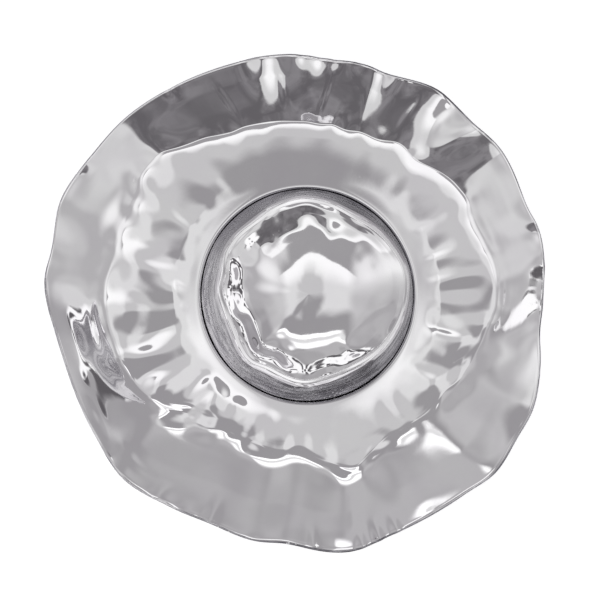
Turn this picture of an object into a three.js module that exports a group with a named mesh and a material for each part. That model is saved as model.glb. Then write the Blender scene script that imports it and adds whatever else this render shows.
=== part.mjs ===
// Chip and dip server: a wide polished cast-aluminium tray with a ruffled, hand-pulled rim, and a
// separate dip bowl that stands in a shallow round seat in the middle of the tray's floor and lifts
// out. Four bumpers carry the tray on the table, and three smaller ones keep bowl and seat apart.
// Millimetres, +Z up. Both castings are turned profiles that are then pulled out of round.
import * as THREE from "three";

// ---- Driving dimensions ----
const BUMPER_HEIGHT = 1.8; // tray bumpers: they lift the foot ring off the table
const BUMPER_RADIUS = 4;
const BOWL_BUMPER_HEIGHT = 1;
const BOWL_BUMPER_RADIUS = 2.9;

const SEAT_RADIUS = 82.8; // round recess in the tray's floor that the bowl stands in
const SEAT_HEIGHT = 8;
const FLOOR_HEIGHT = 12.6; // tray floor at the seat's edge, from where it falls away to the moat
const MOAT_RADIUS = 116; // lowest ring of the floor
const FLOOR_HOLD_RADIUS = 94; // inside this the floor stays round where its outline is drawn in
const BREAK_RADIUS = 128; // where the floor turns up into the wall, before it is pulled out of round
const RIM_RADIUS = 189; // mean radius of the ruffled rim
const RIM_HEIGHT = 42;
const RIM_DROP = 0.5; // a stretch of rim pulled 1 mm further out lies this much lower
const WALL_THICKNESS = 4.2; // at the floor
const EDGE_THICKNESS = 2.8; // at the rim
const FOOT_RING_RADIUS = 102.5;
const FOOT_RING_WIDTH = 9;
const UNDERSIDE_HEIGHT = 4.4; // inside the foot ring

const BOWL_FOOT_RADIUS = 81.5;
const BOWL_FOOT_WIDTH = 6.4;
const BOWL_RIM_RADIUS = 70.6; // crown of the rounded rim, before it is pulled out of round
const BOWL_HEIGHT = 31; // crown of the rim over the foot, before its sway
const BOWL_BOTTOM_HEIGHT = 12; // inside bottom above the bowl's foot
const BOWL_BOTTOM_CURVE = 126; // radius of the shallow sphere that the inside bottom is part of
const BOWL_BOTTOM_THICKNESS = 3.5;
const BOWL_RIM_DROP = 0.15; // as RIM_DROP, for the bowl
const BOWL_LEAN = new THREE.Vector2(2.4, 1.3); // how far the bowl's rim stands off its foot's centre

const TRAY_SEGMENTS = 120;
const BOWL_SEGMENTS = 66;

// The tray's rim as [angle in degrees, radius about the seat's centre]. It was pulled by hand, so
// it wanders, and it stands about 8 mm off centre.
const TRAY_OUTLINE = [
  [1, 179.6], [14, 183.8], [23, 180.2], [37, 184.1], [46, 181], [57, 184.7], [68, 178.5],
  [76, 179.7], [85, 178.5], [100, 184.5], [109, 183.9], [126, 188.9], [137, 192.8],
  [148, 195.4], [160, 201.1], [170, 198], [178, 200.2], [190, 194], [201, 192],
  [213, 194.2], [225, 198.7], [236, 193], [246, 189], [257, 191.3], [265, 189.8],
  [278, 197], [288, 192.4], [298, 191.5], [308, 192.5], [316, 196.1], [325, 192.8],
  [333, 192.3], [343, 185], [351, 178.3],
];

// The bowl's rim in the same form: the radius of its crown about its own centre.
const BOWL_OUTLINE = [
  [0, 70.5], [14, 71.4], [29, 69], [45, 66.4], [62, 64.4], [79, 67.1], [95, 69.5],
  [114, 68.6], [128, 67.8], [145, 70.9], [156, 71.6], [168, 69.5], [179, 70.7],
  [192, 68.4], [205, 67.8], [218, 70.3], [228, 71.8], [241, 68.4], [264, 69.6],
  [279, 66.6], [298, 64.4], [316, 65.6], [333, 67.2],
];

// How much higher the bowl's rim is carried: it stands highest at its front left.
const BOWL_SWAY = [[0, -1], [45, -1], [90, 0], [135, 3], [180, 6], [225, 6.5], [270, 5], [315, 3]];

// The line where the floor turns up into the wall, in the same form. It bulges out at the sides
// and comes in at the front.
const BREAK_OUTLINE = [
  [0, 147], [20, 140], [36, 142], [50, 135], [70, 132], [90, 131], [106, 135], [120, 138],
  [130, 145], [137, 155], [143, 156], [151, 149], [162, 148], [182, 154], [200, 150], [217, 137],
  [230, 121], [242, 117], [257, 118.5], [267, 114], [274, 119], [281, 131], [288, 132], [296, 122],
  [307, 120], [322, 121], [336, 127], [348, 138],
];

// How far the floor falls from the seat's edge to the moat, and rises again from there to the
// break, and how much higher the rim is carried, as [angle, mm].
const FLOOR_FALL = [[0, 3.6], [45, 2.8], [90, 2.1], [135, 2.8], [180, 4], [225, 2.6], [270, 1.3], [315, 1.8]];
const FLOOR_RISE = [
  [0, 3.1], [36, 2], [70, 0.7], [110, 0.7], [142, 2.6], [180, 3.2], [217, 1.4], [250, 0.3], [290, 0.3],
  [325, 0.6],
];
const RIM_SWAY = [[0, -9.5], [45, -4.5], [90, -2.5], [135, -2], [180, 2.5], [225, 1.5], [270, 2.5], [315, -0.5]];

// Folds in the tray's wall: angle, half width (degrees), and how far they push the wall out (mm).
const WALL_FOLDS = [
  [5, 6, 2.6], [48, 6, -3], [66, 5, 2.6], [90, 7, -2.4], [128, 9, 2.4], [165, 8, 2.6],
  [207, 8, -1.4], [221, 5, 2], [252, 8, 1.6], [286, 6, -1.6], [312, 7, 1.6], [342, 8, -2.4],
];

// ---- Helpers ----

// The value of a closed [angle, value] list at any angle, as a smooth curve through its points.
function around(list, angle) {
  const degrees = THREE.MathUtils.euclideanModulo(THREE.MathUtils.radToDeg(angle), 360);
  const count = list.length;
  const at = (i) => {
    const turns = Math.floor(i / count);
    const [a, v] = list[i - turns * count];
    return [a + 360 * turns, v];
  };
  let i = list.findIndex(([a]) => a > degrees);
  if (i < 0) i = count;
  const [a0, v0] = at(i - 2);
  const [a1, v1] = at(i - 1);
  const [a2, v2] = at(i);
  const [a3, v3] = at(i + 1);
  const span = a2 - a1;
  const t = (degrees - a1) / span;
  const slope1 = ((v2 - v0) / (a2 - a0)) * span;
  const slope2 = ((v3 - v1) / (a3 - a1)) * span;
  return (
    v1 * (1 + 2 * t) * (1 - t) ** 2 + v2 * t * t * (3 - 2 * t) +
    slope1 * t * (1 - t) ** 2 - slope2 * t * t * (1 - t)
  );
}

// The outward push of all the wall folds together at an angle.
function foldPush(angle) {
  const degrees = THREE.MathUtils.radToDeg(angle);
  return WALL_FOLDS.reduce((sum, [at, halfWidth, push]) => {
    const apart = THREE.MathUtils.euclideanModulo(degrees - at + 180, 360) - 180;
    return sum + push * Math.exp(-((apart / halfWidth) ** 2));
  }, 0);
}

// A surface of revolution about Z from a closed [radius, height] profile, whose points then move
// to where place(radius, height, angle) says. The profile runs anticlockwise seen from -Y.
function pulledLathe(profile, segments, place) {
  const points = profile.map(([r, z]) => new THREE.Vector2(r, z));
  const geometry = new THREE.LatheGeometry(points, segments);
  const position = geometry.getAttribute("position");
  for (let i = 0; i < position.count; i++) {
    const radius = Math.hypot(position.getX(i), position.getZ(i));
    // LatheGeometry turns about Y and repeats its first column at the seam.
    const column = Math.floor(i / profile.length) % segments;
    const angle = (column / segments) * 2 * Math.PI;
    const [x, y, z] = place(radius, position.getY(i), angle);
    position.setXYZ(i, x, y, z);
  }
  return geometry;
}

// Points at a distance to the right of a curve's direction, one for each point.
function offsetCurve(points, distanceAt) {
  return points.map(([r, z], i) => {
    const [r0, z0] = points[Math.max(i - 1, 0)];
    const [r1, z1] = points[Math.min(i + 1, points.length - 1)];
    const length = Math.hypot(r1 - r0, z1 - z0);
    const d = distanceAt(r);
    return [r + ((z1 - z0) / length) * d, z - ((r1 - r0) / length) * d];
  });
}

// ---- Tray ----

// Top surface of floor and wall, from the seat's edge out to the rim, before it is pulled: the
// floor is level here. The wall's points are shares of its reach and rise: it turns up over a
// short curve, then eases a little towards the rim.
function trayTop() {
  const rise = RIM_HEIGHT - FLOOR_HEIGHT;
  const reach = RIM_RADIUS - BREAK_RADIUS;
  const floor = [SEAT_RADIUS + 2.4, 93, 99, 105, 111, MOAT_RADIUS, 121, 125];
  const wall = [
    [0, 0], [0.05, 0.015], [0.1, 0.05], [0.16, 0.106], [0.24, 0.194], [0.35, 0.321], [0.48, 0.474],
    [0.61, 0.624], [0.74, 0.768], [0.87, 0.895], [0.96, 0.971],
  ];
  return [
    ...floor.map((r) => [r, FLOOR_HEIGHT]),
    ...wall.map(([u, v]) => [BREAK_RADIUS + reach * u, FLOOR_HEIGHT + rise * v]),
  ];
}

// The tray's section from its underside's centre, round the rim, to the seat's centre.
function trayProfile() {
  const ringOuter = FOOT_RING_RADIUS + FOOT_RING_WIDTH / 2;
  const ringInner = FOOT_RING_RADIUS - FOOT_RING_WIDTH / 2;
  const top = trayTop();
  const thickness = (r) => {
    const t = THREE.MathUtils.clamp((r - BREAK_RADIUS) / (RIM_RADIUS - BREAK_RADIUS), 0, 1);
    return THREE.MathUtils.lerp(WALL_THICKNESS, EDGE_THICKNESS, t);
  };
  return [
    [0, UNDERSIDE_HEIGHT], [48, UNDERSIDE_HEIGHT], [ringInner - 2, UNDERSIDE_HEIGHT],
    [ringInner, BUMPER_HEIGHT], [ringOuter, BUMPER_HEIGHT], [ringOuter + 2, UNDERSIDE_HEIGHT],
    ...offsetCurve(top, thickness).filter(([r]) => r > ringOuter + 3),
    [RIM_RADIUS + 0.5, RIM_HEIGHT - 2], [RIM_RADIUS + 0.3, RIM_HEIGHT - 0.5], [RIM_RADIUS - 0.9, RIM_HEIGHT],
    ...top.reverse(),
    [SEAT_RADIUS + 0.9, FLOOR_HEIGHT - 0.3], [SEAT_RADIUS + 0.3, FLOOR_HEIGHT - 1.2],
    [SEAT_RADIUS, SEAT_HEIGHT + 0.4], [SEAT_RADIUS - 0.4, SEAT_HEIGHT], [60, SEAT_HEIGHT], [0, SEAT_HEIGHT],
  ];
}

// How far the floor lies below or above its level at a radius between the seat's edge and the
// break: it falls to the moat and rises again.
function floorLift(radius, angle) {
  const start = SEAT_RADIUS + 2.4;
  const down = THREE.MathUtils.clamp((radius - start) / (MOAT_RADIUS - start), 0, 1);
  const up = THREE.MathUtils.clamp((radius - MOAT_RADIUS) / (BREAK_RADIUS - MOAT_RADIUS), 0, 1);
  return up ** 2 * around(FLOOR_RISE, angle) - (1 - (1 - down) ** 2) * around(FLOOR_FALL, angle);
}

// The seat and foot ring stay round. Floor and wall stretch between the moat, the break's outline
// and the ruffled rim.
function placeTray(radius, height, angle) {
  if (height < SEAT_HEIGHT && radius < MOAT_RADIUS - 1 || radius < SEAT_RADIUS + 2) {
    return [radius * Math.cos(angle), radius * Math.sin(angle), height];
  }
  const atBreak = around(BREAK_OUTLINE, angle) - BREAK_RADIUS;
  const from = atBreak < 0 ? FLOOR_HOLD_RADIUS : MOAT_RADIUS;
  const toBreak = THREE.MathUtils.clamp((radius - from) / (BREAK_RADIUS - from), 0, 1);
  const t = THREE.MathUtils.clamp((radius - BREAK_RADIUS) / (RIM_RADIUS - BREAK_RADIUS), 0, 1);
  const atRim = around(TRAY_OUTLINE, angle) - RIM_RADIUS;
  const fold = foldPush(angle) * t * Math.sin(Math.PI * t);
  const r = radius + atBreak * (toBreak - t) + atRim * t + fold;
  const rimLift = around(RIM_SWAY, angle) - RIM_DROP * atRim;
  const lift = floorLift(radius, angle) * (1 - t) + rimLift * t - RIM_DROP * fold;
  return [r * Math.cos(angle), r * Math.sin(angle), height + lift];
}

// ---- Dip bowl ----

// Height of the bowl's inside bottom over its foot.
function bowlBottom(radius) {
  return BOWL_BOTTOM_HEIGHT + radius ** 2 / (2 * BOWL_BOTTOM_CURVE);
}

// The bowl's section, with its foot at height 0: the underside is cored out behind the outer wall.
function bowlProfile() {
  const footInner = BOWL_FOOT_RADIUS - BOWL_FOOT_WIDTH;
  const bottom = [50, 42, 34, 25, 13, 0];
  return [
    ...bottom.toReversed().map((r) => [r, bowlBottom(r) - BOWL_BOTTOM_THICKNESS]),
    [56.4, 21], [62, 23.6], [65.6, 25.2], [68, 25.8], [70.2, 24.6], [72, 20.4], [73.6, 11],
    [footInner - 0.4, 1.4], [footInner + 0.2, 0], [BOWL_FOOT_RADIUS - 0.6, 0],
    [BOWL_FOOT_RADIUS, 0.8], [81, 4], [79.7, 9], [78.1, 14.4], [76.5, 19.4], [75, 24], [73.9, 27.2],
    [72.8, 29.6], [71.8, 30.7], [BOWL_RIM_RADIUS, BOWL_HEIGHT], [69.5, 30.8], [68.3, 30.3],
    ...[66, 61, 55.5, ...bottom].map((r) => [r, bowlBottom(r)]),
  ];
}

// The foot stays round for its seat, and the wall leans and grows out of round towards the rim.
function placeBowl(radius, height, angle) {
  const t = THREE.MathUtils.clamp(height / BOWL_HEIGHT, 0, 1) * Math.min(radius / BOWL_RIM_RADIUS, 1);
  const lean = BOWL_LEAN.x * Math.cos(angle) + BOWL_LEAN.y * Math.sin(angle);
  const wander = around(BOWL_OUTLINE, angle) - BOWL_RIM_RADIUS;
  const r = radius + (wander + lean) * t;
  const carried = THREE.MathUtils.smoothstep(t, 0.45, 0.88);
  const lift = around(BOWL_SWAY, angle) * carried - BOWL_RIM_DROP * wander * t;
  return [r * Math.cos(angle), r * Math.sin(angle), height + lift];
}

// ---- Assembly ----

const metal = new THREE.MeshStandardMaterial({ color: 0xe9e7ea, roughness: 0.08, metalness: 1 });
const clearRubber = new THREE.MeshStandardMaterial({ color: 0xc9ccce, roughness: 0.45, metalness: 0 });

function addMesh(group, name, geometry, material) {
  const mesh = new THREE.Mesh(geometry, material);
  mesh.name = name;
  group.add(mesh);
  return mesh;
}

// Round bumpers glued at even steps round a ring, hanging below their group's zero height.
function addBumpers(group, name, count, ringRadius, radius, height, firstAngle) {
  for (let i = 0; i < count; i++) {
    const angle = firstAngle + (i / count) * 2 * Math.PI;
    const geometry = new THREE.CylinderGeometry(radius, radius, height, 20).rotateX(Math.PI / 2);
    const bumper = addMesh(group, `${name}_${i + 1}`, geometry, clearRubber);
    bumper.position.set(ringRadius * Math.cos(angle), ringRadius * Math.sin(angle), -height / 2);
  }
}

function makeTray() {
  const group = new THREE.Group();
  addMesh(group, "serving_tray", pulledLathe(trayProfile(), TRAY_SEGMENTS, placeTray), metal);
  const bumpers = new THREE.Group();
  bumpers.position.z = BUMPER_HEIGHT;
  addBumpers(bumpers, "tray_bumper", 4, FOOT_RING_RADIUS, BUMPER_RADIUS, BUMPER_HEIGHT, Math.PI / 4);
  group.add(bumpers);
  return group;
}

function makeBowl() {
  const group = new THREE.Group();
  addMesh(group, "dip_bowl", pulledLathe(bowlProfile(), BOWL_SEGMENTS, placeBowl), metal);
  const ringRadius = BOWL_FOOT_RADIUS - BOWL_FOOT_WIDTH / 2;
  addBumpers(group, "bowl_bumper", 3, ringRadius, BOWL_BUMPER_RADIUS, BOWL_BUMPER_HEIGHT, Math.PI / 2);
  group.position.z = SEAT_HEIGHT + BOWL_BUMPER_HEIGHT;
  return group;
}

// The origin is the middle of the whole object's box, on the table.
const server = new THREE.Group();
server.add(makeTray(), makeBowl());
const middle = new THREE.Box3().setFromObject(server).getCenter(new THREE.Vector3());
server.position.set(-middle.x, -middle.y, 0);

export default server;
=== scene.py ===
"""Chip and dip server: a hammered, mirror-polished tray with a lift-out dip bowl, seen from above.

Metres, in the CAD frame. Both castings start from the CAD solids' own rings of points, are
resampled finely and smoothly, and then get their hand-hammered surface and their rim folds.
Round the tray, 0 degrees is at the right, 90 at the back, 180 at the left and 270 at the front.
"""

import math

import bmesh
import bpy
import numpy as np
from mathutils import Matrix, Vector


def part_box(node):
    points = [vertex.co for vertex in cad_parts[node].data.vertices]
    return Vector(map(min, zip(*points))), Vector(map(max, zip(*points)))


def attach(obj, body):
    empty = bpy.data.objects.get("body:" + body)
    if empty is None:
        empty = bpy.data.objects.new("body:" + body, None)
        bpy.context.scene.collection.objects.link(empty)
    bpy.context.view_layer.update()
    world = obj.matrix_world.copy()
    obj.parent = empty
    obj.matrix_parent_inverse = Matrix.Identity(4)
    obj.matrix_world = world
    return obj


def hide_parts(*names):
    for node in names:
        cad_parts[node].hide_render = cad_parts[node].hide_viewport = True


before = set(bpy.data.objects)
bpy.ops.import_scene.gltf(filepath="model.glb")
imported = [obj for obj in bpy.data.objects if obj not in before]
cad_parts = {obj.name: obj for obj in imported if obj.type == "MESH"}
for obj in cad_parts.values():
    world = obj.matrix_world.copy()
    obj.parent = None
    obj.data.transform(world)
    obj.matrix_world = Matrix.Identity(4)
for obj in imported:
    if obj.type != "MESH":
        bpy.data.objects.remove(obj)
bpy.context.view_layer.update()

MM = 0.001

# ---- Places and sizes from the frame ----

TRAY_BUMPERS = [f"tray_bumper_{i}" for i in range(1, 5)]
BOWL_BUMPERS = [f"bowl_bumper_{i}" for i in range(1, 4)]


def box_middle(node):
    low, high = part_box(node)
    return (low + high) / 2


# The seat's axis runs through the middle of the tray's four bumpers.
AXIS = sum((box_middle(n) for n in TRAY_BUMPERS), Vector()) / len(TRAY_BUMPERS)
# The bowl's foot nearly fills the seat.
SEAT_GAP = 1.3 * MM
SEAT_RADIUS = (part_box("dip_bowl")[1].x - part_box("dip_bowl")[0].x) / 2 + SEAT_GAP
# Distances out from the axis at which the floor's hammering begins and is full.
HAMMERED_FROM, HAMMERED_FULLY = 91 * MM, 104 * MM


# ---- The castings' points ----

def casting_grid(node):
    """The CAD casting's rings of points as radius and height arrays [row, column].

    Rows run from the middle of the underside, round the rim, to the middle of the inside. Every
    column lies in a plane through the axis, at even steps of angle.
    """
    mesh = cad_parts[node].data
    points = np.array([v.co for v in mesh.vertices])
    # Points that share a micrometre are one point.
    points, welded = np.unique(np.round(points, 6), axis=0, return_inverse=True)
    welded = welded.reshape(-1)
    neighbours = [set() for _ in points]
    for polygon in mesh.polygons:
        ring = [int(welded[i]) for i in polygon.vertices]
        for a, b in zip(ring, ring[1:] + ring[:1]):
            neighbours[a].add(b)
            neighbours[b].add(a)
    radius = np.hypot(points[:, 0] - AXIS.x, points[:, 1] - AXIS.y)
    height = points[:, 2]
    poles = np.flatnonzero(radius < 0.01 * MM)
    start = int(poles[np.argmin(height[poles])])
    rows, seen = [[start]], {start}
    while True:
        ring = {n for i in rows[-1] for n in neighbours[i]} - seen
        if not ring:
            break
        rows.append(sorted(ring))
        seen |= ring
    columns = len(rows[1])
    angle = np.arctan2(points[:, 1] - AXIS.y, points[:, 0] - AXIS.x)
    column = np.round(angle / (2 * math.pi) * columns).astype(int) % columns
    grid_radius = np.zeros((len(rows), columns))
    grid_height = np.zeros((len(rows), columns))
    for k, ring in enumerate(rows):
        if len(ring) == 1:
            grid_radius[k], grid_height[k] = 0, height[ring[0]]
            continue
        grid_radius[k, column[ring]] = radius[ring]
        grid_height[k, column[ring]] = height[ring]
    return grid_radius, grid_height


def cubic_rows(values, at):
    """Rows of values at fractional row numbers, by a Catmull-Rom curve through the rows."""
    last = len(values) - 1
    i = np.clip(np.floor(at).astype(int), 0, last - 1)
    t = (at - i)[:, None]
    before, here = values[np.maximum(i - 1, 0)], values[i]
    after, beyond = values[i + 1], values[np.minimum(i + 2, last)]
    return here + t / 2 * (
        after - before + t * (2 * before - 5 * here + 4 * after - beyond
                              + t * (3 * (here - after) + beyond - before)))


def finer_columns(values, count):
    """The same closed rings with more columns, by trigonometric interpolation."""
    spectrum = np.fft.rfft(values, axis=1)
    return np.fft.irfft(spectrum, count, axis=1) * (count / values.shape[1])


def row_steps(radius, height, spacing):
    """Fractional row numbers for rows about spacing(row) apart along the mean section."""
    steps = [0.0]
    for k in range(len(radius) - 1):
        length = math.hypot(*(np.diff(a[k:k + 2].mean(1))[0] for a in (radius, height)))
        parts = max(1, round(length / spacing(k)))
        steps += [k + (j + 1) / parts for j in range(parts)]
    return np.array(steps)


def resampled(node, columns, spacing):
    """A casting's points again, with more columns and with rows about spacing(...) apart.

    Gives their radius, height and angle, and which rows are on the upper side of the rim.
    """
    radius, height = casting_grid(node)
    rim_row = int(np.argmax(height.mean(1)))
    steps = row_steps(radius, height, lambda k: spacing(k, rim_row, radius[k + 1].mean()))
    fine = [cubic_rows(finer_columns(a, columns), steps) for a in (radius, height)]
    angle = np.tile(np.arange(columns) * 2 * math.pi / columns, (len(steps), 1))
    return fine[0], fine[1], angle, steps >= rim_row


def smooth_rows(values, first, last, passes):
    """Rows first to last relaxed towards their neighbours, so that reflections run on smoothly."""
    for _ in range(passes):
        inner = values[first:last]
        values[first:last] = (values[first - 1:last - 1] + 2 * inner + values[first + 1:last + 1]) / 4


def outward(radius, height):
    """The mean section's unit normal at every row, as radial and upward parts."""
    along_r, along_z = np.gradient(radius.mean(1)), np.gradient(height.mean(1))
    length = np.maximum(np.hypot(along_r, along_z), 1e-9)
    return (along_z / length)[:, None], (-along_r / length)[:, None]


# ---- Noise and soft steps ----

def spline_noise(rng, angle, distance, cells, cell_length):
    """Smooth random relief of about unit size, closed round the ring.

    It has that many cells to the turn, each cell_length long outwards.
    """
    u = (angle / (2 * math.pi) * cells) % cells
    v = distance / cell_length + 2
    lattice = rng.standard_normal((cells, int(v.max()) + 4))
    i, j = np.floor(u).astype(int), np.floor(v).astype(int)
    s, t = u - i, v - j

    def weights(f):
        return ((1 - f) ** 3 / 6, (3 * f ** 3 - 6 * f ** 2 + 4) / 6,
                (-3 * f ** 3 + 3 * f ** 2 + 3 * f + 1) / 6, f ** 3 / 6)

    total = np.zeros_like(u)
    for a, wa in enumerate(weights(s)):
        for b, wb in enumerate(weights(t)):
            total += wa * wb * lattice[(i + a - 1) % cells, j + b - 1]
    return 2 * total


def leaning_noise(seed, angle, distance, cells, cell_length, lean):
    """The same, with waves that are steeper on their front flanks and gentler behind."""
    plain = spline_noise(np.random.default_rng(seed), angle, distance, cells, cell_length)
    shifted = angle + lean * np.cos(angle) * plain
    return spline_noise(np.random.default_rng(seed), shifted, distance, cells, cell_length)


def angle_apart(angle, degrees):
    return (angle - math.radians(degrees) + math.pi) % (2 * math.pi) - math.pi


def near(angle, degrees, half_width):
    """1 at an angle, falling smoothly to 0 about two half widths away, all in degrees."""
    return np.exp(-(angle_apart(angle, degrees) / math.radians(half_width)) ** 2)


def near_value(value, middle, half_width):
    """The same for plain values."""
    return np.exp(-((value - middle) / half_width) ** 2)


def rise(value, low, high):
    """0 below low, 1 above high and smooth between."""
    t = np.clip((value - low) / (high - low), 0, 1)
    return t * t * (3 - 2 * t)


# ---- The tray's relief ----

# Folds that the maker pressed into the rim: angle and half width in degrees, how far the fold runs
# in from the rim and how far it lowers the rim, both in mm. A negative one lifts the rim.
RIM_FOLDS = [
    (124.5, 1.7, 13, 1.9), (100.2, 4.8, 42, 6.4), (92.1, 1.3, 12, 1.5), (88.1, 1.8, 15, 2.2),
    (83.9, 1.2, 12, 1.5), (77.3, 2.5, 16, 2.4), (72.2, 3.8, 42, 8.0), (53.3, 5.6, 46, 6.0),
    (43.5, 3.0, 20, -1.2), (97, 44, 15, -2.2), (17.7, 2.2, 14, -1.6), (6.1, 2.4, 16, -2.0),
    (356.2, 2.6, 14, -1.9), (150, 2.2, 10, -1.2), (219, 2.4, 14, -1.8), (233, 1.8, 18, -1.9),
    (240, 1.8, 12, -1.3), (246, 1.6, 28, -2.2), (257, 1.5, 9, -1.0), (270.5, 1.0, 26, -1.7),
    (276, 3.2, 18, 0.9), (281.5, 1.2, 20, -2.1), (285.5, 1.1, 20, -2.3), (290, 1.1, 18, -1.8),
    (298, 3.0, 14, 1.0), (313, 9.0, 30, -1.6), (337, 5.0, 30, 0.6), (272, 42, 30, -3.6),
    (226, 10, 28, -1.8),
]

# Lips and hollows that run along inside the rim where it was hammered over: angle and half width
# in degrees, how far in from the rim, how wide and how high, all in mm.
RIM_LIPS = [
    (191.5, 5, 13, 4.2, 0.8), (201, 3, 13, 3.4, -0.5), (210, 4.5, 11, 4.0, 0.8),
    (222, 6, 15, 3, -0.4),
]

# Long creases down the wall at the back: angle, half width and lean in degrees, and height in mm.
WALL_CREASES = [
    (96, 0.7, 3, 0.35), (87, 0.6, -3.5, 0.4), (72.5, 0.7, 1, -0.5), (111, 0.8, 5, 0.3),
    (62, 0.9, -2, 0.3),
]


def rim_shape(angle, inward):
    """Height that the folds and lips add to the wall, at a distance in from the rim."""
    total = np.zeros_like(angle)
    for degrees, half_width, run, drop in RIM_FOLDS:
        along = np.clip(1 - inward / (run * MM), 0, None)
        total -= drop * MM * near(angle, degrees, half_width) * along ** 1.5
    for degrees, half_width, middle, width, high in RIM_LIPS:
        across = (inward - middle * MM) / (width * MM)
        total += high * MM * near(angle, degrees, half_width) * np.exp(-across ** 2)
    return total


def wall_creases(angle, share):
    """Narrow ridges that run down the wall, where share is 0 at the break and 1 at the rim."""
    total = np.zeros_like(angle)
    for degrees, half_width, lean, high in WALL_CREASES:
        across = angle_apart(angle, degrees) - math.radians(lean) * share
        ridge = np.exp(-(across / math.radians(half_width)) ** 2)
        total += high * MM * ridge * np.sin(math.pi * np.clip(share, 0, 1)) ** 2
    return total


def break_relief(angle, from_break, sides, curls):
    """What the smooth shape of the turn between floor and wall gains at the back and the front."""
    # At the back the floor curls up before the turn.
    back = near(angle, 92, 50) * (1 - sides)
    curl = np.clip(1 + from_break / (11.5 * MM), 0, 1) ** 2
    curled = 1.6 * MM * back * curl * (1 - rise(from_break, 5 * MM, 45 * MM))
    # At the front a fine bead runs along the turn, and the wall starts out gently.
    at_front = near(angle, 272, 52)
    share = np.clip(from_break / (10 * MM) - 0.5, 0, 1)
    eased = np.clip(from_break, 0, 5 * MM) + 10 * MM * (share - share ** 3 + share ** 4 / 2)
    eased *= 1 - rise(from_break, 20 * MM, 62 * MM)
    bead = rise(from_break, -0.6 * MM, 1.2 * MM) * (1 - rise(from_break, 1.2 * MM, 6 * MM))
    return curled + at_front * (0.22 * MM * bead * (1 + 0.6 * curls) - 0.18 * eased)


def tray_relief(angle, radius, break_radius, rim_radius):
    """Height of the hammered surface over the smooth one, along its normal."""
    # Where the hammering is strong: at the sides, at the turn, on the floor and up the wall.
    left, right = near(angle, 182, 48), near(angle, 352, 40)
    front = near(angle, 272, 50)
    sides = np.clip(left + 0.8 * right + 0.7 * near(angle, 228, 30), 0, 1)
    from_break = radius - break_radius
    at_break = near_value(from_break, 0, 13 * MM)
    floor = rise(radius, HAMMERED_FROM, HAMMERED_FULLY) * (1 - rise(from_break, 0, 20 * MM))
    wall = rise(from_break, 0, 18 * MM)

    # The flutes lean over towards the back on both sides.
    flutes = leaning_noise(19, angle, radius, 112, 23 * MM, 0.006)
    rng = np.random.default_rng(41)
    dents = spline_noise(rng, angle, radius, 84, 12 * MM)
    blotches = spline_noise(rng, angle, radius, 44, 19 * MM)
    curls = spline_noise(rng, angle, radius, 96, 9 * MM)
    swell = spline_noise(rng, angle, radius, 22, 34 * MM)
    ruffle = spline_noise(rng, angle, radius, 48, 24 * MM)
    pocks = spline_noise(rng, angle, radius, 210, 4.5 * MM)

    relief = 0.42 * MM * flutes * floor * sides
    relief += 0.18 * MM * dents * floor * (0.05 + 0.95 * sides)
    relief += 0.55 * MM * blotches * floor * sides
    relief += 0.16 * MM * curls * at_break * (0.3 + 0.7 * np.maximum(sides, front))
    relief += 0.34 * MM * dents * at_break * (0.35 + 0.65 * np.maximum(front, sides))
    relief += 0.16 * MM * swell * rise(radius, 88 * MM, 125 * MM)
    relief += 0.16 * MM * ruffle * wall
    relief += 0.010 * MM * pocks * wall * near(angle, 110, 50)
    relief += break_relief(angle, from_break, sides, curls)
    return relief + wall_creases(angle, from_break / (rim_radius - break_radius))


def sharp_turn(radius, height, inner, outer):
    """Height with the turn between two rows drawn as two straight flanks and a tight curve."""
    def flank(row, step):
        slope = (height[row] - height[row + step]) / (radius[row] - radius[row + step])
        return height[row] + slope * (radius[outer:inner + 1] - radius[row])

    floor, wall = flank(inner, 2), flank(outer, -2)
    turned = (floor + wall) / 2 + np.hypot((floor - wall) / 2, 0.15 * MM)
    share = np.linspace(0, 1, len(turned))[:, None]
    turned -= (1 - share) * (turned[0] - height[outer]) + share * (turned[-1] - height[inner])
    result = height.copy()
    result[outer:inner + 1] = turned
    return result


# ---- The bowl's relief ----

def bowl_inner_relief(angle, radius):
    """Dents round the inside of the bowl's wall, with a quiet bottom and right side."""
    rng = np.random.default_rng(7)
    waves = spline_noise(rng, angle, radius, 26, 13 * MM)
    dents = spline_noise(rng, angle, radius, 46, 6.5 * MM)
    lumps = spline_noise(rng, angle, radius, 9, 24 * MM)
    busy = 1 - 0.85 * near(angle, 8, 40)
    wall = rise(radius, 42 * MM, 53 * MM) * (1 - rise(radius, 64 * MM, 68.5 * MM)) * busy
    bottom = rise(radius, 4 * MM, 24 * MM) * (1 - rise(radius, 60 * MM, 68 * MM))
    return wall * (0.36 * MM * waves + 0.34 * MM * dents) + 0.18 * MM * lumps * bottom


def bowl_outer_relief(angle, height):
    """Shallow dents that run round the outside of the bowl's wall."""
    rng = np.random.default_rng(12)
    waves = spline_noise(rng, angle, height, 20, 9 * MM)
    dents = spline_noise(rng, angle, height, 40, 4 * MM)
    return 0.28 * MM * waves + 0.10 * MM * dents


# ---- Materials ----

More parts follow.
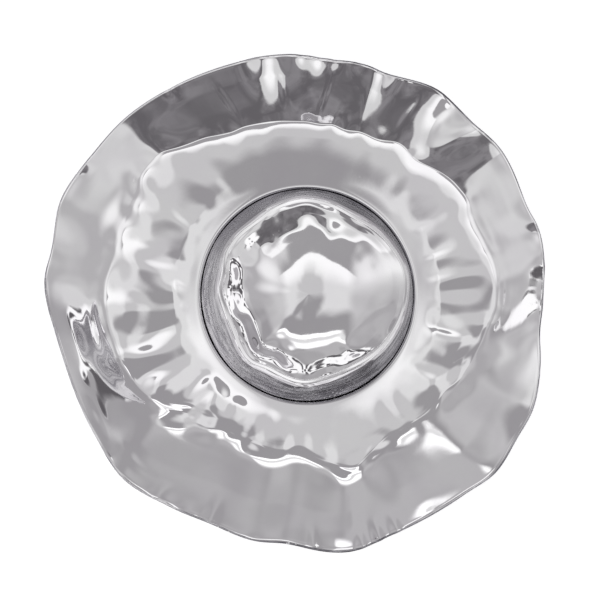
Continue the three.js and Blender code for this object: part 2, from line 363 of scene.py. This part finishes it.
class Nodes:
    """Short ways to lay out a shader's nodes."""

    def __init__(self, tree):
        self.tree = tree
        self.tree.nodes.clear()

    def add(self, kind, inputs=(), **settings):
        node = self.tree.nodes.new(kind)
        for key, value in settings.items():
            setattr(node, key, value)
        for key, value in dict(inputs).items():
            self.feed(node.inputs[key], value)
        return node

    def feed(self, socket, value):
        if isinstance(value, bpy.types.NodeSocket):
            self.tree.links.new(value, socket)
        else:
            socket.default_value = value

    def math(self, operation, a, b=0.0):
        return self.add("ShaderNodeMath", {0: a, 1: b}, operation=operation).outputs[0]

    def plus(self, a, b):
        return self.math("ADD", a, b)

    def minus(self, a, b):
        return self.math("SUBTRACT", a, b)

    def times(self, a, b):
        return self.math("MULTIPLY", a, b)

    def over(self, a, b):
        return self.math("DIVIDE", a, b)

    def hypot(self, a, b):
        return self.math("SQRT", self.plus(self.times(a, a), self.times(b, b)))

    def ramp(self, value, low, high, to_low=0.0, to_high=1.0):
        """value carried from low..high to to_low..to_high, smoothly, and held beyond them."""
        inputs = {"Value": value, "From Min": low, "From Max": high, "To Min": to_low, "To Max": to_high}
        node = self.add("ShaderNodeMapRange", inputs, interpolation_type="SMOOTHSTEP")
        return node.outputs["Result"]

    def mix(self, factor, a, b):
        node = self.add("ShaderNodeMix", {"Factor": factor, 6: a, 7: b}, data_type="RGBA")
        return node.outputs[2]

    def place(self, kind):
        """The place of each point, as Object gives it, or the direction of each ray, as Generated."""
        return self.add("ShaderNodeTexCoord").outputs[kind]

    def noise(self, place, scale, detail=2.0, **inputs):
        """Clouds between 0 and 1, about scale of them to each unit of length."""
        inputs = {"Vector": place, "Scale": scale, "Detail": detail, **inputs}
        return self.add("ShaderNodeTexNoise", inputs).outputs["Fac"]

    def cells(self, place, scale):
        """How far a place lies from the middle of its cell, with cells as many as noise's clouds."""
        return self.add("ShaderNodeTexVoronoi", {"Vector": place, "Scale": scale}).outputs["Distance"]

    def bump(self, height, strength, distance):
        inputs = {"Height": height, "Strength": strength, "Distance": distance}
        return self.add("ShaderNodeBump", inputs).outputs["Normal"]

    def principled(self, inputs):
        shader = self.add("ShaderNodeBsdfPrincipled", inputs)
        self.finish("ShaderNodeOutputMaterial", shader.outputs["BSDF"])

    def finish(self, kind, surface):
        self.add(kind, {"Surface": surface}).is_active_output = True


def new_material(name):
    material = bpy.data.materials.new(name)
    material.use_nodes = True
    return material, Nodes(material.node_tree)


def polished_metal():
    """Hand-polished cast aluminium: a clear mirror with faint haze, wipe marks and pinholes."""
    material, n = new_material("polished_aluminium")
    place = n.place("Object")
    haze = n.noise(place, 26.0, 4.0, Roughness=0.6)
    wipes = n.noise(place, 420.0, 3.0, Distortion=1.5)
    pit = n.ramp(n.cells(place, 210.0), 0.03, 0.07, -1.0, 0.0)
    rare = n.ramp(n.noise(place, 31.0), 0.66, 0.7)
    orange_peel = n.times(n.noise(place, 260.0), 0.12)
    relief = n.plus(n.times(pit, rare), orange_peel)
    n.principled({
        "Base Color": n.mix(n.ramp(haze, 0.3, 0.7), (0.90, 0.885, 0.91, 1), (0.93, 0.925, 0.935, 1)),
        "Metallic": 1.0,
        "Roughness": n.plus(n.ramp(haze, 0.35, 0.75, 0.02, 0.06), n.ramp(wipes, 0.45, 0.8, 0.0, 0.03)),
        "Normal": n.bump(relief, 0.35, 0.2 * MM)})
    return material


def cast_metal_and_painted_shade():
    """The same metal as it left the sand: darker, with streaks drawn round the wall, and with painted
    shade that is lightest on the left and darkest at the back.
    """
    material, n = new_material("cast_aluminium_and_painted_shade")
    place = n.place("Object")
    x, y, z = n.add("ShaderNodeSeparateXYZ", {0: place}).outputs
    x, y = n.minus(x, AXIS.x), n.minus(y, AXIS.y)
    out = n.hypot(x, y)
    # The streaks are long round the axis and fine across the wall.
    outer = n.math("MAXIMUM", out, 1 * MM)
    round_x, round_y = (n.times(n.over(part, outer), 3.2) for part in (x, y))
    down = n.times(n.plus(out, n.times(z, -0.6)), 330)
    drawn = n.add("ShaderNodeCombineXYZ", {0: round_x, 1: round_y, 2: down}).outputs[0]
    streak = n.noise(drawn, 1.0, 3.0, Roughness=0.6)
    grain = n.noise(place, 700.0, 4.0)
    # Bright points are worn into it in patches at the front left.
    worn = n.times(n.ramp(n.cells(place, 330.0), 0.34, 0.16), n.ramp(n.noise(place, 38.0), 0.46, 0.58))
    worn = n.times(worn, n.ramp(n.plus(round_x, round_y), 0.5, -2.0))
    # Painted shade: the wall's colour is a little lighter on the left and darker elsewhere, and least
    # bright at the back, standing in for how the light falls on it.
    painted_shade_off_left = n.ramp(round_x, -2.4, 0.0)
    dark = n.mix(painted_shade_off_left, (0.42, 0.41, 0.44, 1), (0.15, 0.145, 0.165, 1))
    pale = n.mix(painted_shade_off_left, (0.88, 0.87, 0.89, 1), (0.50, 0.49, 0.52, 1))
    # Painted shade at the back: the pale streaks darken there.
    pale = n.mix(n.ramp(round_y, 0.6, 2.2), pale, (0.40, 0.39, 0.42, 1))
    # The skin's colour holds the cast streaks together with the painted shade.
    skin = n.mix(n.ramp(streak, 0.34, 0.66), dark, pale)
    relief = n.plus(n.plus(n.times(grain, 0.35), n.times(streak, 1.2)), n.times(worn, 5.0))
    n.principled({
        "Base Color": n.mix(worn, skin, (0.95, 0.94, 0.96, 1)),
        "Metallic": 1.0,
        "Roughness": n.ramp(grain, 0.3, 0.7, 0.14, 0.3),
        "Normal": n.bump(relief, 0.6, 0.35 * MM)})
    return material


def clear_rubber():
    """Soft clear bumpers, a little cloudy, with a fine matt skin."""
    material, n = new_material("clear_bumper")
    place = n.place("Object")
    cloud = n.noise(place, 380.0, 4.0)
    n.principled({
        "Base Color": n.mix(cloud, (0.70, 0.73, 0.75, 1), (0.82, 0.84, 0.85, 1)),
        "Roughness": n.ramp(cloud, 0.3, 0.7, 0.28, 0.42),
        "Normal": n.bump(n.noise(place, 2600.0), 0.2, 0.05 * MM),
        "Transmission Weight": 0.6,
        "IOR": 1.41})
    return material


POLISHED, CAST_AND_PAINTED_SHADE, RUBBER = polished_metal(), cast_metal_and_painted_shade(), clear_rubber()


# ---- Pieces ----

TRAY_COLUMNS, BOWL_COLUMNS = 640, 480
BUMPER_TURNS, BUMPER_EDGE_STEPS = 48, 5
# The tray's wall begins where its section first rises this steeply, in degrees.
WALL_SLOPE = 15
# The turn there is drawn anew from so many rows outside it to so many inside.
TURN_ROWS_OUT, TURN_ROWS_IN = 12, 8
# The rim's edge is where the surface faces outwards by this much, in the outermost 5 %.
EDGE_FACING, EDGE_REACH = 0.72, 0.95
# The land along the bowl's crown: its half width without and with its soft edge, and its tilt to
# the front in degrees.
LAND_FLAT, LAND_SOFT, LAND_TILT = 1.1 * MM, 1.5 * MM, 11
# How far below the crown the polish ends on the bowl's outside.
POLISH_END = 4 * MM


def add_piece(name, mesh, body, node):
    """A smooth piece that rides on a body, in place of a CAD node."""
    mesh.polygons.foreach_set("use_smooth", [True] * len(mesh.polygons))
    piece = bpy.data.objects.new(name, mesh)
    bpy.context.scene.collection.objects.link(piece)
    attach(piece, body)
    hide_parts(node)


def build_casting(name, radius, height, body, node, cast):
    """A closed mesh from radius and height arrays, whose first and last rows are single points.

    Its faces keep their cast skin along the rows marked in cast, and the others are polished.
    """
    rows, columns = radius.shape
    angle = np.arange(columns) * 2 * math.pi / columns
    x = AXIS.x + radius * np.cos(angle)
    y = AXIS.y + radius * np.sin(angle)
    rings = np.stack([x, y, height], 2)[1:-1].reshape(-1, 3)
    first, last = ([AXIS.x, AXIS.y, height[row].mean()] for row in (0, -1))
    points = np.vstack([first, rings, last])
    index = 1 + np.arange((rows - 2) * columns).reshape(rows - 2, columns)
    beside = np.roll(index, -1, 1)
    quads = np.stack([index[:-1], beside[:-1], beside[1:], index[1:]], 2).reshape(-1, 4)
    under = [(0, b, a) for a, b in zip(index[0], beside[0])]
    inside = [(len(points) - 1, a, b) for a, b in zip(index[-1], beside[-1])]
    mesh = bpy.data.meshes.new(name)
    mesh.from_pydata(points.tolist(), [], quads.tolist() + under + inside)
    mesh.materials.append(POLISHED)
    mesh.materials.append(CAST_AND_PAINTED_SHADE)
    bands = np.repeat(cast[1:-2], columns)
    caps = np.repeat(cast[[0, -1]], columns)
    mesh.polygons.foreach_set("material_index", np.concatenate([bands, caps]).astype(int))
    mesh.update()
    add_piece(name, mesh, body, node)


def tray_spacing(row, rim_row, radius):
    """Rows lie closest at the turn of the floor, and far apart in the seat and underneath."""
    if row < rim_row - 3:
        return 3.2 * MM if radius > 96 * MM else 12 * MM
    if 120 * MM < radius < 145 * MM:
        return 0.8 * MM
    return 1.25 * MM if radius > SEAT_RADIUS else 9 * MM


def shaped_turn(radius, height, angle, break_row):
    """Height with the turn of the floor sharp at the front and back, and how gentle it is."""
    turned = sharp_turn(radius, height, break_row + TURN_ROWS_IN, break_row - TURN_ROWS_OUT)
    gentle = height.copy()
    smooth_rows(gentle, break_row - 3 * TURN_ROWS_OUT, break_row + 3 * TURN_ROWS_OUT, 220)
    at_side = np.clip(near(angle, 178, 46) + near(angle, 5, 32), 0, 1)
    return turned + (gentle - turned) * at_side, at_side


def build_tray():
    radius, height, angle, above = resampled("serving_tray", TRAY_COLUMNS, tray_spacing)
    top = np.flatnonzero(above & (radius.mean(1) > SEAT_RADIUS + 4 * MM))
    for values in (radius, height):
        smooth_rows(values, top[0] + 3, top[-1], 6)
    slope = np.degrees(np.arctan2(-np.gradient(height.mean(1)), -np.gradient(radius.mean(1))))
    break_row = top[slope[top] > WALL_SLOPE][-1]
    height, at_side = shaped_turn(radius, height, angle, break_row)
    # Where the turn is sharp it also wanders in and out.
    wander = spline_noise(np.random.default_rng(23), angle, np.zeros_like(angle), 84, MM)
    wander *= near_value(radius, radius[break_row], 9 * MM)
    radius = radius + 1.3 * MM * wander * above[:, None] * (1 - at_side)
    relief = tray_relief(angle, radius, radius[break_row], radius.max(0))
    shown = rise(radius, SEAT_RADIUS + 3 * MM, SEAT_RADIUS + 11 * MM)
    # The underside follows the top where the wall is thin.
    follow = np.where(above[:, None], shown, -rise(radius, 118 * MM, 140 * MM))
    out_r, out_z = outward(radius, height)
    folded = rim_shape(angle, radius.max(0) - radius) * np.abs(follow)
    radius, height = radius + out_r * relief * follow, height + out_z * relief * follow + folded
    # The seat's edge stands close to the bowl's foot.
    seat_edge = near_value(radius, SEAT_RADIUS + 0.5 * MM, 1.6 * MM) * above[:, None]
    radius = radius - 0.7 * MM * seat_edge
    # The underside is left as cast, and so is the rim's edge.
    mean_radius = radius.mean(1)
    edge = (out_r[:, 0] > EDGE_FACING) & (mean_radius > EDGE_REACH * mean_radius.max())
    build_casting("tray_casting", radius, height, "tray", "serving_tray", ~above | edge)


def bowl_spacing(row, rim_row, radius):
    """Rows lie closest at the crown, and far apart underneath."""
    if row <= rim_row - 10:
        return 4 * MM
    if abs(row - rim_row) <= 3:
        return 0.35 * MM
    return 0.7 * MM if radius > 79.5 * MM else 1.3 * MM


def build_bowl():
    radius, height, angle, above = resampled("dip_bowl", BOWL_COLUMNS, bowl_spacing)
    mean_radius = np.tile(radius.mean(1, keepdims=True), (1, BOWL_COLUMNS))
    inside = np.flatnonzero(above)
    for values in (radius, height):
        smooth_rows(values, inside[0] + 4, inside[-1] - 1, 8)
    crown = int(inside[0])
    depth = height[crown] - height
    above_foot = height - height.min()
    foot_row = int(np.argmax(radius.mean(1)))
    outside = (np.arange(len(radius)) > foot_row)[:, None] * ~above[:, None]
    on_wall = rise(above_foot, 3 * MM, 9 * MM) * rise(depth, 1 * MM, 5 * MM)
    relief = bowl_outer_relief(angle, height) * outside * on_wall
    # Level with the tray's floor the wall flares out and nearly fills the seat.
    relief += 0.95 * MM * near_value(above_foot, 3.6 * MM, 1.9 * MM) * outside
    relief += bowl_inner_relief(angle, mean_radius) * above[:, None]
    out_r, out_z = outward(radius, height)
    radius, height = radius + out_r * relief, height + out_z * relief
    across = radius - radius[crown]
    land = height[crown] + across * math.tan(math.radians(LAND_TILT)) * np.sin(angle)
    on_land = (1 - rise(np.abs(across), LAND_FLAT, LAND_SOFT)) * (depth < 2 * MM)
    height = height + (land - height) * on_land
    polish_row = int(np.flatnonzero(depth.mean(1)[:crown] > POLISH_END)[-1])
    below = np.arange(len(radius)) < polish_row
    build_casting("bowl_casting", radius, height, "bowl", "dip_bowl", below)


def build_bumper(node, body):
    """A disc with a rounded lower edge and a slightly dished foot."""
    low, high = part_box(node)
    middle = (low + high) / 2
    size, tall = (high.x - low.x) / 2, high.z - low.z
    edge = 0.45 * tall
    section = [(0, low.z + 0.05 * tall), (0.5 * size, low.z + 0.03 * tall), (size - edge, low.z)]
    for k in range(1, BUMPER_EDGE_STEPS + 1):
        turn = k / BUMPER_EDGE_STEPS * math.pi / 2
        section.append((size - edge * (1 - math.sin(turn)), low.z + edge * (1 - math.cos(turn))))
    section += [(size, high.z), (0, high.z)]
    points, faces = [], []
    for r, z in section:
        for k in range(BUMPER_TURNS):
            a = 2 * math.pi * k / BUMPER_TURNS
            points.append((middle.x + r * math.cos(a), middle.y + r * math.sin(a), z))
    for row in range(len(section) - 1):
        for k in range(BUMPER_TURNS):
            a, b = row * BUMPER_TURNS + k, row * BUMPER_TURNS + (k + 1) % BUMPER_TURNS
            faces.append((a, b, b + BUMPER_TURNS, a + BUMPER_TURNS))
    mesh = bpy.data.meshes.new(f"{node}_dome")
    mesh.from_pydata(points, [], faces)
    # The points on the axis are welded, which closes the disc.
    bm = bmesh.new()
    bm.from_mesh(mesh)
    bmesh.ops.remove_doubles(bm, verts=bm.verts, dist=1e-7)
    bmesh.ops.recalc_face_normals(bm, faces=bm.faces)
    bm.to_mesh(mesh)
    bm.free()
    mesh.materials.append(RUBBER)
    add_piece(f"{node}_dome", mesh, body, node)


build_tray()
build_bowl()
for bumper in TRAY_BUMPERS:
    build_bumper(bumper, "tray")
for bumper in BOWL_BUMPERS:
    build_bumper(bumper, "bowl")


# ---- Floor, light and camera ----

def build_floor():
    bpy.ops.mesh.primitive_circle_add(vertices=96, radius=6, fill_type="NGON")
    floor = bpy.context.object
    floor.name = "floor"
    material, n = new_material("pale_floor")
    n.principled({
        "Base Color": (0.86, 0.86, 0.86, 1),
        "Roughness": 0.8,
        "Emission Color": (1, 1, 1, 1),
        "Emission Strength": 0.62,
        "Specular IOR Level": 0.1})
    floor.data.materials.append(material)


# The share of the light that the polished metal gives back.
METAL_SHARE = 0.88


def linear(shade):
    """The light that shows as this shade of grey."""
    return shade / 12.92 if shade <= 0.04045 else ((shade + 0.055) / 1.055) ** 2.4


def grey(shade, strength=1.0):
    """The light of a card that shows as this shade in the metal. Darker ones are a little violet."""
    value = linear(shade) * strength / METAL_SHARE
    violet = max(0.0, 0.8 - shade) * 0.12
    return (value, value * (1 - violet), value * (1 + 0.3 * violet), 1)


def overhead_strip(n, lengthways, to_right):
    """The strip of cards overhead, which runs front to back. Its places are angles in degrees."""
    # The cards lie in arcs, with a narrow white one near the front.
    bent = n.minus(lengthways, n.times(n.times(to_right, to_right), 0.025))
    strip = n.mix(n.ramp(bent, -24, -22.5), grey(0.60), grey(0.97))
    # The grey card stands a little to the right, with a paler ground round it.
    off_card = n.math("ABSOLUTE", n.minus(to_right, 3.5))
    ground = n.mix(n.ramp(off_card, 5, 9), grey(0.75), grey(0.84))
    strip = n.mix(n.ramp(bent, -20, n.ramp(off_card, 3, 7, -10, -4)), strip, ground)
    card_width = n.math("MAXIMUM", n.ramp(off_card, 12, 6), n.ramp(lengthways, 16, 23))
    strip = n.mix(n.times(n.ramp(bent, 3, 10), card_width), strip, grey(0.585))
    # Behind it hang a narrow white card and a wide one, with a pale seam between them.
    behind = n.ramp(off_card, 21, 16)
    for start, end, light in [(32.5, 33.5, grey(1.0, 1.15)), (35.5, 36.5, grey(0.84)),
                              (38, 40, grey(1.0, 1.05))]:
        strip = n.mix(n.times(n.ramp(lengthways, start, end), behind), strip, light)
    return n.mix(n.ramp(lengthways, 44, 52), strip, grey(0.625))


def side_panel(n, lengthways, sideways, patches):
    """The panel at each side, whose hot spot is 31 degrees off the vertical and 13 to the front."""
    off_side = n.over(n.minus(sideways, 31), 10)
    off_length = n.over(n.plus(lengthways, 13), 18)
    dull = n.mix(patches, grey(0.68), grey(0.81))
    return n.mix(n.ramp(n.hypot(off_side, off_length), 0.2, 1.5), grey(0.92), dull)


def build_light():
    """A soft tent of cards, as light by direction: a strip overhead, a panel at either side, a grey
    back, a dark front and a white table. All angles are in degrees."""
    world = bpy.data.worlds.new("soft_tent")
    bpy.context.scene.world = world
    world.use_nodes = True
    n = Nodes(world.node_tree)
    direction = n.place("Generated")
    x, y, z = n.add("ShaderNodeSeparateXYZ", {0: direction}).outputs

    def in_degrees(operation, *sides):
        return n.times(n.math(operation, *sides), 180 / math.pi)

    polar = in_degrees("ARCCOSINE", z)
    lengthways = in_degrees("ARCTAN2", y, n.math("MAXIMUM", z, 0.02))
    to_right = in_degrees("ARCSINE", x)
    sideways = n.math("ABSOLUTE", to_right)
    from_front = in_degrees("ARCTAN2", n.math("ABSOLUTE", x), n.times(y, -1))

    patches = n.ramp(n.noise(direction, 2.2, 1.0), 0.38, 0.66)
    strip = overhead_strip(n, lengthways, to_right)
    panel = side_panel(n, lengthways, sideways, patches)
    light = n.mix(n.ramp(sideways, 18, 25), strip, panel)
    # The grey back starts a little higher at the sides.
    back_edge = n.ramp(sideways, 14, 22, 45, 39)
    at_back = n.times(n.ramp(from_front, 109, 117), n.ramp(n.minus(polar, back_edge), 0, 6))
    light = n.mix(at_back, light, n.mix(patches, grey(0.60), grey(0.69)))
    # The dark front, with a pale card between it and the strip.
    at_front = n.ramp(from_front, 50, 47)
    card = n.mix(n.ramp(polar, 40, 48), grey(0.96), grey(0.80))
    dark = n.mix(n.ramp(n.noise(direction, 5.0, 3.0), 0.35, 0.65), grey(0.38), grey(0.51))
    light = n.mix(n.times(at_front, n.ramp(polar, 35, 37)), light, card)
    light = n.mix(n.times(at_front, n.ramp(polar, 50, 52)), light, dark)
    # Near the table the tent leaves a dark gap with pale scraps in it, and then comes the table.
    gap = n.mix(n.ramp(n.noise(direction, 7.0, 1.0), 0.46, 0.54), grey(0.36), grey(0.98))
    light = n.mix(n.ramp(polar, 72, 76), light, gap)
    light = n.mix(n.ramp(polar, 85, 87), light, grey(0.97))

    tent = n.add("ShaderNodeBackground", {"Color": light, "Strength": 1.0}).outputs[0]
    plain = (0.92, 0.92, 0.92, 1)
    backdrop = n.add("ShaderNodeBackground", {"Color": plain, "Strength": 1.0}).outputs[0]
    seen = n.add("ShaderNodeLightPath").outputs["Is Camera Ray"]
    mixed = n.add("ShaderNodeMixShader", {0: seen, 1: tent, 2: backdrop})
    n.finish("ShaderNodeOutputWorld", mixed.outputs[0])


def build_camera():
    """Almost straight down, leaning 6 degrees to the front left, with +Y up in the picture."""
    elevation = math.radians(84)
    back = Vector((-0.8 * math.cos(elevation), -0.6 * math.cos(elevation), math.sin(elevation)))
    right = Vector((0, 1, 0)).cross(back).normalized()
    up = back.cross(right)
    target = Vector((0.8 * MM, 0.3 * MM, 50 * MM))
    distance, width_at_target = 1.5, 451.5 * MM
    data = bpy.data.cameras.new("camera")
    data.sensor_width = 36
    data.lens = data.sensor_width * distance / width_at_target
    camera = bpy.data.objects.new("camera", data)
    bpy.context.scene.collection.objects.link(camera)
    turn = Matrix((right, up, back)).transposed().to_4x4()
    camera.matrix_world = Matrix.Translation(target + distance * back) @ turn
    bpy.context.scene.camera = camera


build_floor()
build_light()
build_camera()
bpy.context.scene.view_settings.view_transform = "Standard"
